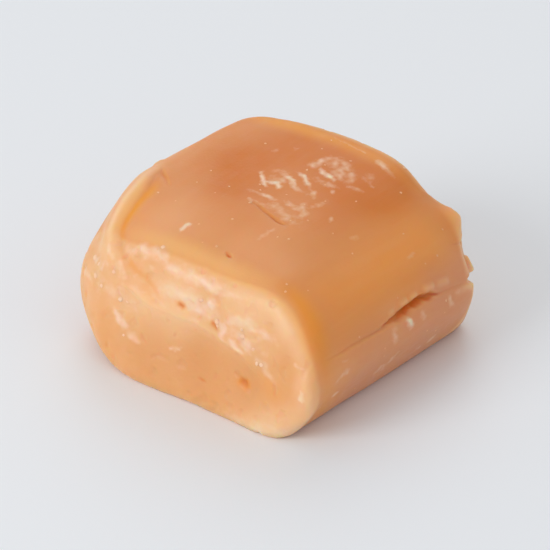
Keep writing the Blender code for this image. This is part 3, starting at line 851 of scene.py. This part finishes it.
def speckle(tree, size, detail=2.0, stretch=(1, 1, 1)):
    place = tree.nodes.new("ShaderNodeTexCoord")
    mapping = tree.nodes.new("ShaderNodeMapping")
    mapping.inputs["Scale"].default_value = [part / (size * mm) for part in stretch]
    texture = tree.nodes.new("ShaderNodeTexNoise")
    texture.inputs["Scale"].default_value = 1
    texture.inputs["Detail"].default_value = detail
    tree.links.new(place.outputs["Object"], mapping.inputs["Vector"])
    tree.links.new(mapping.outputs["Vector"], texture.inputs["Vector"])
    return texture.outputs["Fac"]


def mask(tree, name):
    attribute = tree.nodes.new("ShaderNodeAttribute")
    attribute.attribute_name = name
    return attribute.outputs["Fac"]


def rescale(tree, source, low, high, newLow=0.0, newHigh=1.0):
    scale = tree.nodes.new("ShaderNodeMapRange")
    scale.inputs["From Min"].default_value = low
    scale.inputs["From Max"].default_value = high
    scale.inputs["To Min"].default_value = newLow
    scale.inputs["To Max"].default_value = newHigh
    tree.links.new(source, scale.inputs["Value"])
    return scale.outputs["Result"]


def combine(tree, operation, first, second):
    node = tree.nodes.new("ShaderNodeMath")
    node.operation = operation
    tree.links.new(first, node.inputs[0])
    tree.links.new(second, node.inputs[1])
    return node.outputs["Value"]


def blend(tree, share, first, second):
    mixer = tree.nodes.new("ShaderNodeMix")
    mixer.data_type = "RGBA"
    tree.links.new(share, mixer.inputs["Factor"])
    for identifier, colour in (("A_Color", first), ("B_Color", second)):
        socket = next(item for item in mixer.inputs if item.identifier == identifier)
        if isinstance(colour, tuple):
            socket.default_value = (*colour, 1)
        else:
            tree.links.new(colour, socket)
    return next(item for item in mixer.outputs if item.identifier == "Result_Color")


def bumpy(tree, shader, height, strength, depth):
    bump = tree.nodes.new("ShaderNodeBump")
    bump.inputs["Strength"].default_value = strength
    bump.inputs["Distance"].default_value = depth * mm
    tree.links.new(height, bump.inputs["Height"])
    tree.links.new(bump.outputs["Normal"], shader.inputs["Normal"])


fudgeLook = {
    "colours": {
        "skin": (0.80, 0.345, 0.12),
        "skin, darker": (0.77, 0.30, 0.09),
        # The tan, ochre, lit, rose, hollow and pale colours go with the washes of the same names, which hold
        # painted light and shade
        "tan": (0.85, 0.42, 0.195),
        "ochre_shade": (0.71, 0.205, 0.02),
        "lit": (0.90, 0.355, 0.075),
        "rose": (0.76, 0.33, 0.165),
        "drawn": (0.88, 0.42, 0.14),
        "cut face": (0.85, 0.46, 0.21),
        "cut face, darker": (0.81, 0.40, 0.155),
        "hollow_shade": (0.775, 0.365, 0.135),
        "pale": (0.93, 0.58, 0.32),
        # The glow, foot, cut foot, orange, edge, rim and deep colours are painted light and shade: glow and
        # highlight on edges and crests, redder colour by the table, and shade in pits, hollows and grooves
        "glow": (0.88, 0.35, 0.04),
        "foot": (0.62, 0.20, 0.07),
        "cut foot": (0.93, 0.42, 0.22),
        "recessShade": (0.86, 0.36, 0.08),
        "edge": (0.92, 0.54, 0.21),
        "rim": (0.92, 0.60, 0.35),
        "sugar": (0.96, 0.69, 0.49),
        "sugar, pinker": (0.96, 0.67, 0.54),
        # the scuff colour also paints the highlight of the brightest scuffs
        "scuff": (0.97, 0.76, 0.55),
        "deep": (0.78, 0.25, 0.045),
    },
    "speckles": {                     # size, detail, stretch
        "skin clouds": (6, 3.0, (0.5, 1, 1)),
        "inside clouds": (3, 3.0),
        "drawn lines": (1.8, 2.0, (0.1, 1, 1)),
        "flecks": (0.4, 3.0),
        "sugar clouds": (2, 2.0),
        "roughness": (1.5, 2.0),
        "drag lines": (0.35, 3.0, (0.06, 1, 1)),
        "pores": (0.3, 4.0),
    },
    "ranges": {                       # the mask or speckle from and to, then what it becomes
        "skin clouds": (0.35, 0.65),
        "inside clouds": (0.35, 0.65),
        "drawn lines": (0.45, 0.75, 0.0, 0.45),
        "flecks": (0.0, 1.0, -0.2, 0.2),
        "sugar clouds": (0.4, 0.6),
        "roughness": (0.3, 0.7, 0.34, 0.48),
        "polish": (0.2, 1.0, 0.0, 0.12),          # a scuff is less rough
        "glow": (0.1, 1.1),
        "foot": (0.0, 1.0, 0.0, 0.6),
        "cut foot": (0.0, 1.0, 0.0, 0.65),
        "rim": (0.05, 1.2),
        "edge": (0.1, 1.4),
        "sugar": (0.1, 1.1, 0.0, 0.85),
        "scuff": (0.1, 1.1, 0.0, 0.9),
    },
    "scatter": 1.8,                   # how deep the light goes, in millimetres
    "scatterTint": (1.0, 0.45, 0.2),
    "shine": 0.35,
    "bump": (0.35, 0.05),             # strength, depth
}


def milky(shader):
    shader.inputs["Subsurface Weight"].default_value = 1.0
    shader.inputs["Subsurface Radius"].default_value = fudgeLook["scatterTint"]
    shader.inputs["Subsurface Scale"].default_value = fudgeLook["scatter"] * mm
    shader.inputs["Specular IOR Level"].default_value = fudgeLook["shine"]


def ranged(tree, source, name):
    # brings a mask or a speckle to its range, where it has one
    span = fudgeLook["ranges"].get(name)
    return rescale(tree, source, *span) if span else source


def speckled(tree, name):
    return ranged(tree, speckle(tree, *fudgeLook["speckles"][name]), name)


def layer(tree, colour, name, share=None):
    # lays the colour of that name over what is there, as strongly as its mask or the share says
    if share is None:
        share = mask(tree, name)
    return blend(tree, ranged(tree, share, name), colour, fudgeLook["colours"][name])


def cloudy(tree, clouds, first, second):
    colours = fudgeLook["colours"]
    return blend(tree, speckled(tree, clouds), colours[first], colours[second])


def skinColour(tree):
    colour = cloudy(tree, "skin clouds", "skin", "skin, darker")
    # the washes lay painted light and shade over the skin: the darker ochre, the lit side, and parts of tan
    # and rose
    for name in ("tan", "ochre_shade", "lit", "rose"):
        colour = layer(tree, colour, name)
    lines = combine(tree, "MULTIPLY", speckled(tree, "drawn lines"), mask(tree, "lit"))
    colour = layer(tree, colour, "drawn", lines)
    for name in ("glow", "foot"):
        colour = layer(tree, colour, name)
    return colour


def insideColour(tree):
    colour = cloudy(tree, "inside clouds", "cut face", "cut face, darker")
    # painted light over the shaded scoop and the foot, and painted shade in the hollows
    for name in ("pale", "hollow_shade"):
        colour = layer(tree, colour, name)
    return colour


def markedColour(tree, colour):
    # what lies over the skin and the cut faces alike: painted shade in pits and grooves, painted highlight
    # and glow on crests and edges, sugar, scuffs and the redder foot
    for name in ("recessShade", "rim", "edge"):
        colour = layer(tree, colour, name)
    flecks = speckled(tree, "flecks")
    sugared = ranged(tree, combine(tree, "ADD", mask(tree, "sugar"), flecks), "sugar")
    colour = blend(tree, sugared, colour, cloudy(tree, "sugar clouds", "sugar", "sugar, pinker"))
    colour = layer(tree, colour, "scuff", combine(tree, "ADD", mask(tree, "scuff"), flecks))
    # painted light: the cut faces turn redder by the table, standing in for scattered light lost through the
    # base
    cutFoot = combine(tree, "MULTIPLY", mask(tree, "cut"), mask(tree, "foot"))
    colour = layer(tree, colour, "cut foot", cutFoot)
    # painted shade: grooves, nicks and pits take the deep amber of shaded fudge
    return layer(tree, colour, "deep")


def fudgeFinish():
    material, tree, shader = newFinish("fudge")
    milky(shader)
    colour = blend(tree, mask(tree, "cut"), skinColour(tree), insideColour(tree))
    tree.links.new(markedColour(tree, colour), shader.inputs["Base Color"])
    polish = ranged(tree, mask(tree, "scuff"), "polish")
    rough = combine(tree, "SUBTRACT", speckled(tree, "roughness"), polish)
    tree.links.new(rough, shader.inputs["Roughness"])
    relief = combine(tree, "ADD", speckled(tree, "drag lines"), speckled(tree, "pores"))
    bumpy(tree, shader, relief, *fudgeLook["bump"])
    return material


def crumbFinish(name, look):
    material, tree, shader = newFinish(name)
    cloudSize, *cloudRange = lumps["clouds"]
    clouds = rescale(tree, speckle(tree, cloudSize), *cloudRange)
    tree.links.new(blend(tree, clouds, look["light"], look["dark"]), shader.inputs["Base Color"])
    glossSize, *glossRange = lumps["gloss"]
    gloss = rescale(tree, speckle(tree, glossSize), *glossRange)
    tree.links.new(gloss, shader.inputs["Roughness"])
    bumpy(tree, shader, speckle(tree, *lumps["pimples"]), *lumps["bump"])
    return material


stage = {
    "floorHalf": 1.5,
    "floorColour": (0.87, 0.9, 0.94),
    "floorRoughness": 0.5,
    "viewTurn": -50.5,
    "viewTilt": 31.5,
    "viewDistance": 0.775,
    "nearest": 0.01,                  # the camera sees nothing closer
    "lens": 490,
    "aim": (-0.0001, -0.0002, 0.0075),
    "world": 0.62,
    "lights": {                       # turn from the front, tilt, distance, size, power
        "key": (-108, 28, 0.6, 0.35, 1.35),
        "back": (125, 35, 0.8, 0.6, 0.8),
    },
}


def floorFinish():
    material, _, shader = newFinish("pale_floor")
    shader.inputs["Base Color"].default_value = (*stage["floorColour"], 1)
    shader.inputs["Roughness"].default_value = stage["floorRoughness"]
    return material


def aimAtPiece(thing, turn, tilt, distance):
    turn = math.radians(turn)
    tilt = math.radians(tilt)
    back = Vector((math.sin(turn) * math.cos(tilt), -math.cos(turn) * math.cos(tilt), math.sin(tilt)))
    thing.location = Vector(stage["aim"]) + back * distance
    thing.rotation_euler = (-back).to_track_quat("-Z", "Y").to_euler()


def addLight(name, turn, tilt, distance, size, power):
    light = bpy.data.lights.new(name, "AREA")
    light.shape = "DISK"
    light.size = size
    light.energy = power
    aimAtPiece(addObject(name, light), turn, tilt, distance)


def addCamera():
    lens = bpy.data.cameras.new("camera")
    lens.lens = stage["lens"]
    lens.clip_start = stage["nearest"]
    camera = addObject("camera", lens)
    aimAtPiece(camera, stage["viewTurn"], stage["viewTilt"], stage["viewDistance"])
    bpy.context.scene.camera = camera


def buildStage():
    mesh = bmesh.new()
    bmesh.ops.create_grid(mesh, x_segments=1, y_segments=1, size=stage["floorHalf"])
    floor = addMesh("floor", mesh, floorFinish())
    addCamera()
    world = bpy.data.worlds.new("studio")
    world.use_nodes = True
    background = world.node_tree.nodes["Background"]
    background.inputs["Color"].default_value = (1, 1, 1, 1)
    background.inputs["Strength"].default_value = stage["world"]
    bpy.context.scene.world = world
    for name, light in stage["lights"].items():
        addLight(name, *light)
    bpy.context.scene.view_settings.view_transform = "Standard"
    print("stage ready")


body, bodyShift = fudgeBody()
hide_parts("fudge_piece")
bpy.context.view_layer.update()
bodySurface = BVHTree.FromObject(body, bpy.context.evaluated_depsgraph_get())
tornCrumbs(bodySurface, bodyShift)
sugarGrains(bodySurface)
buildStage()
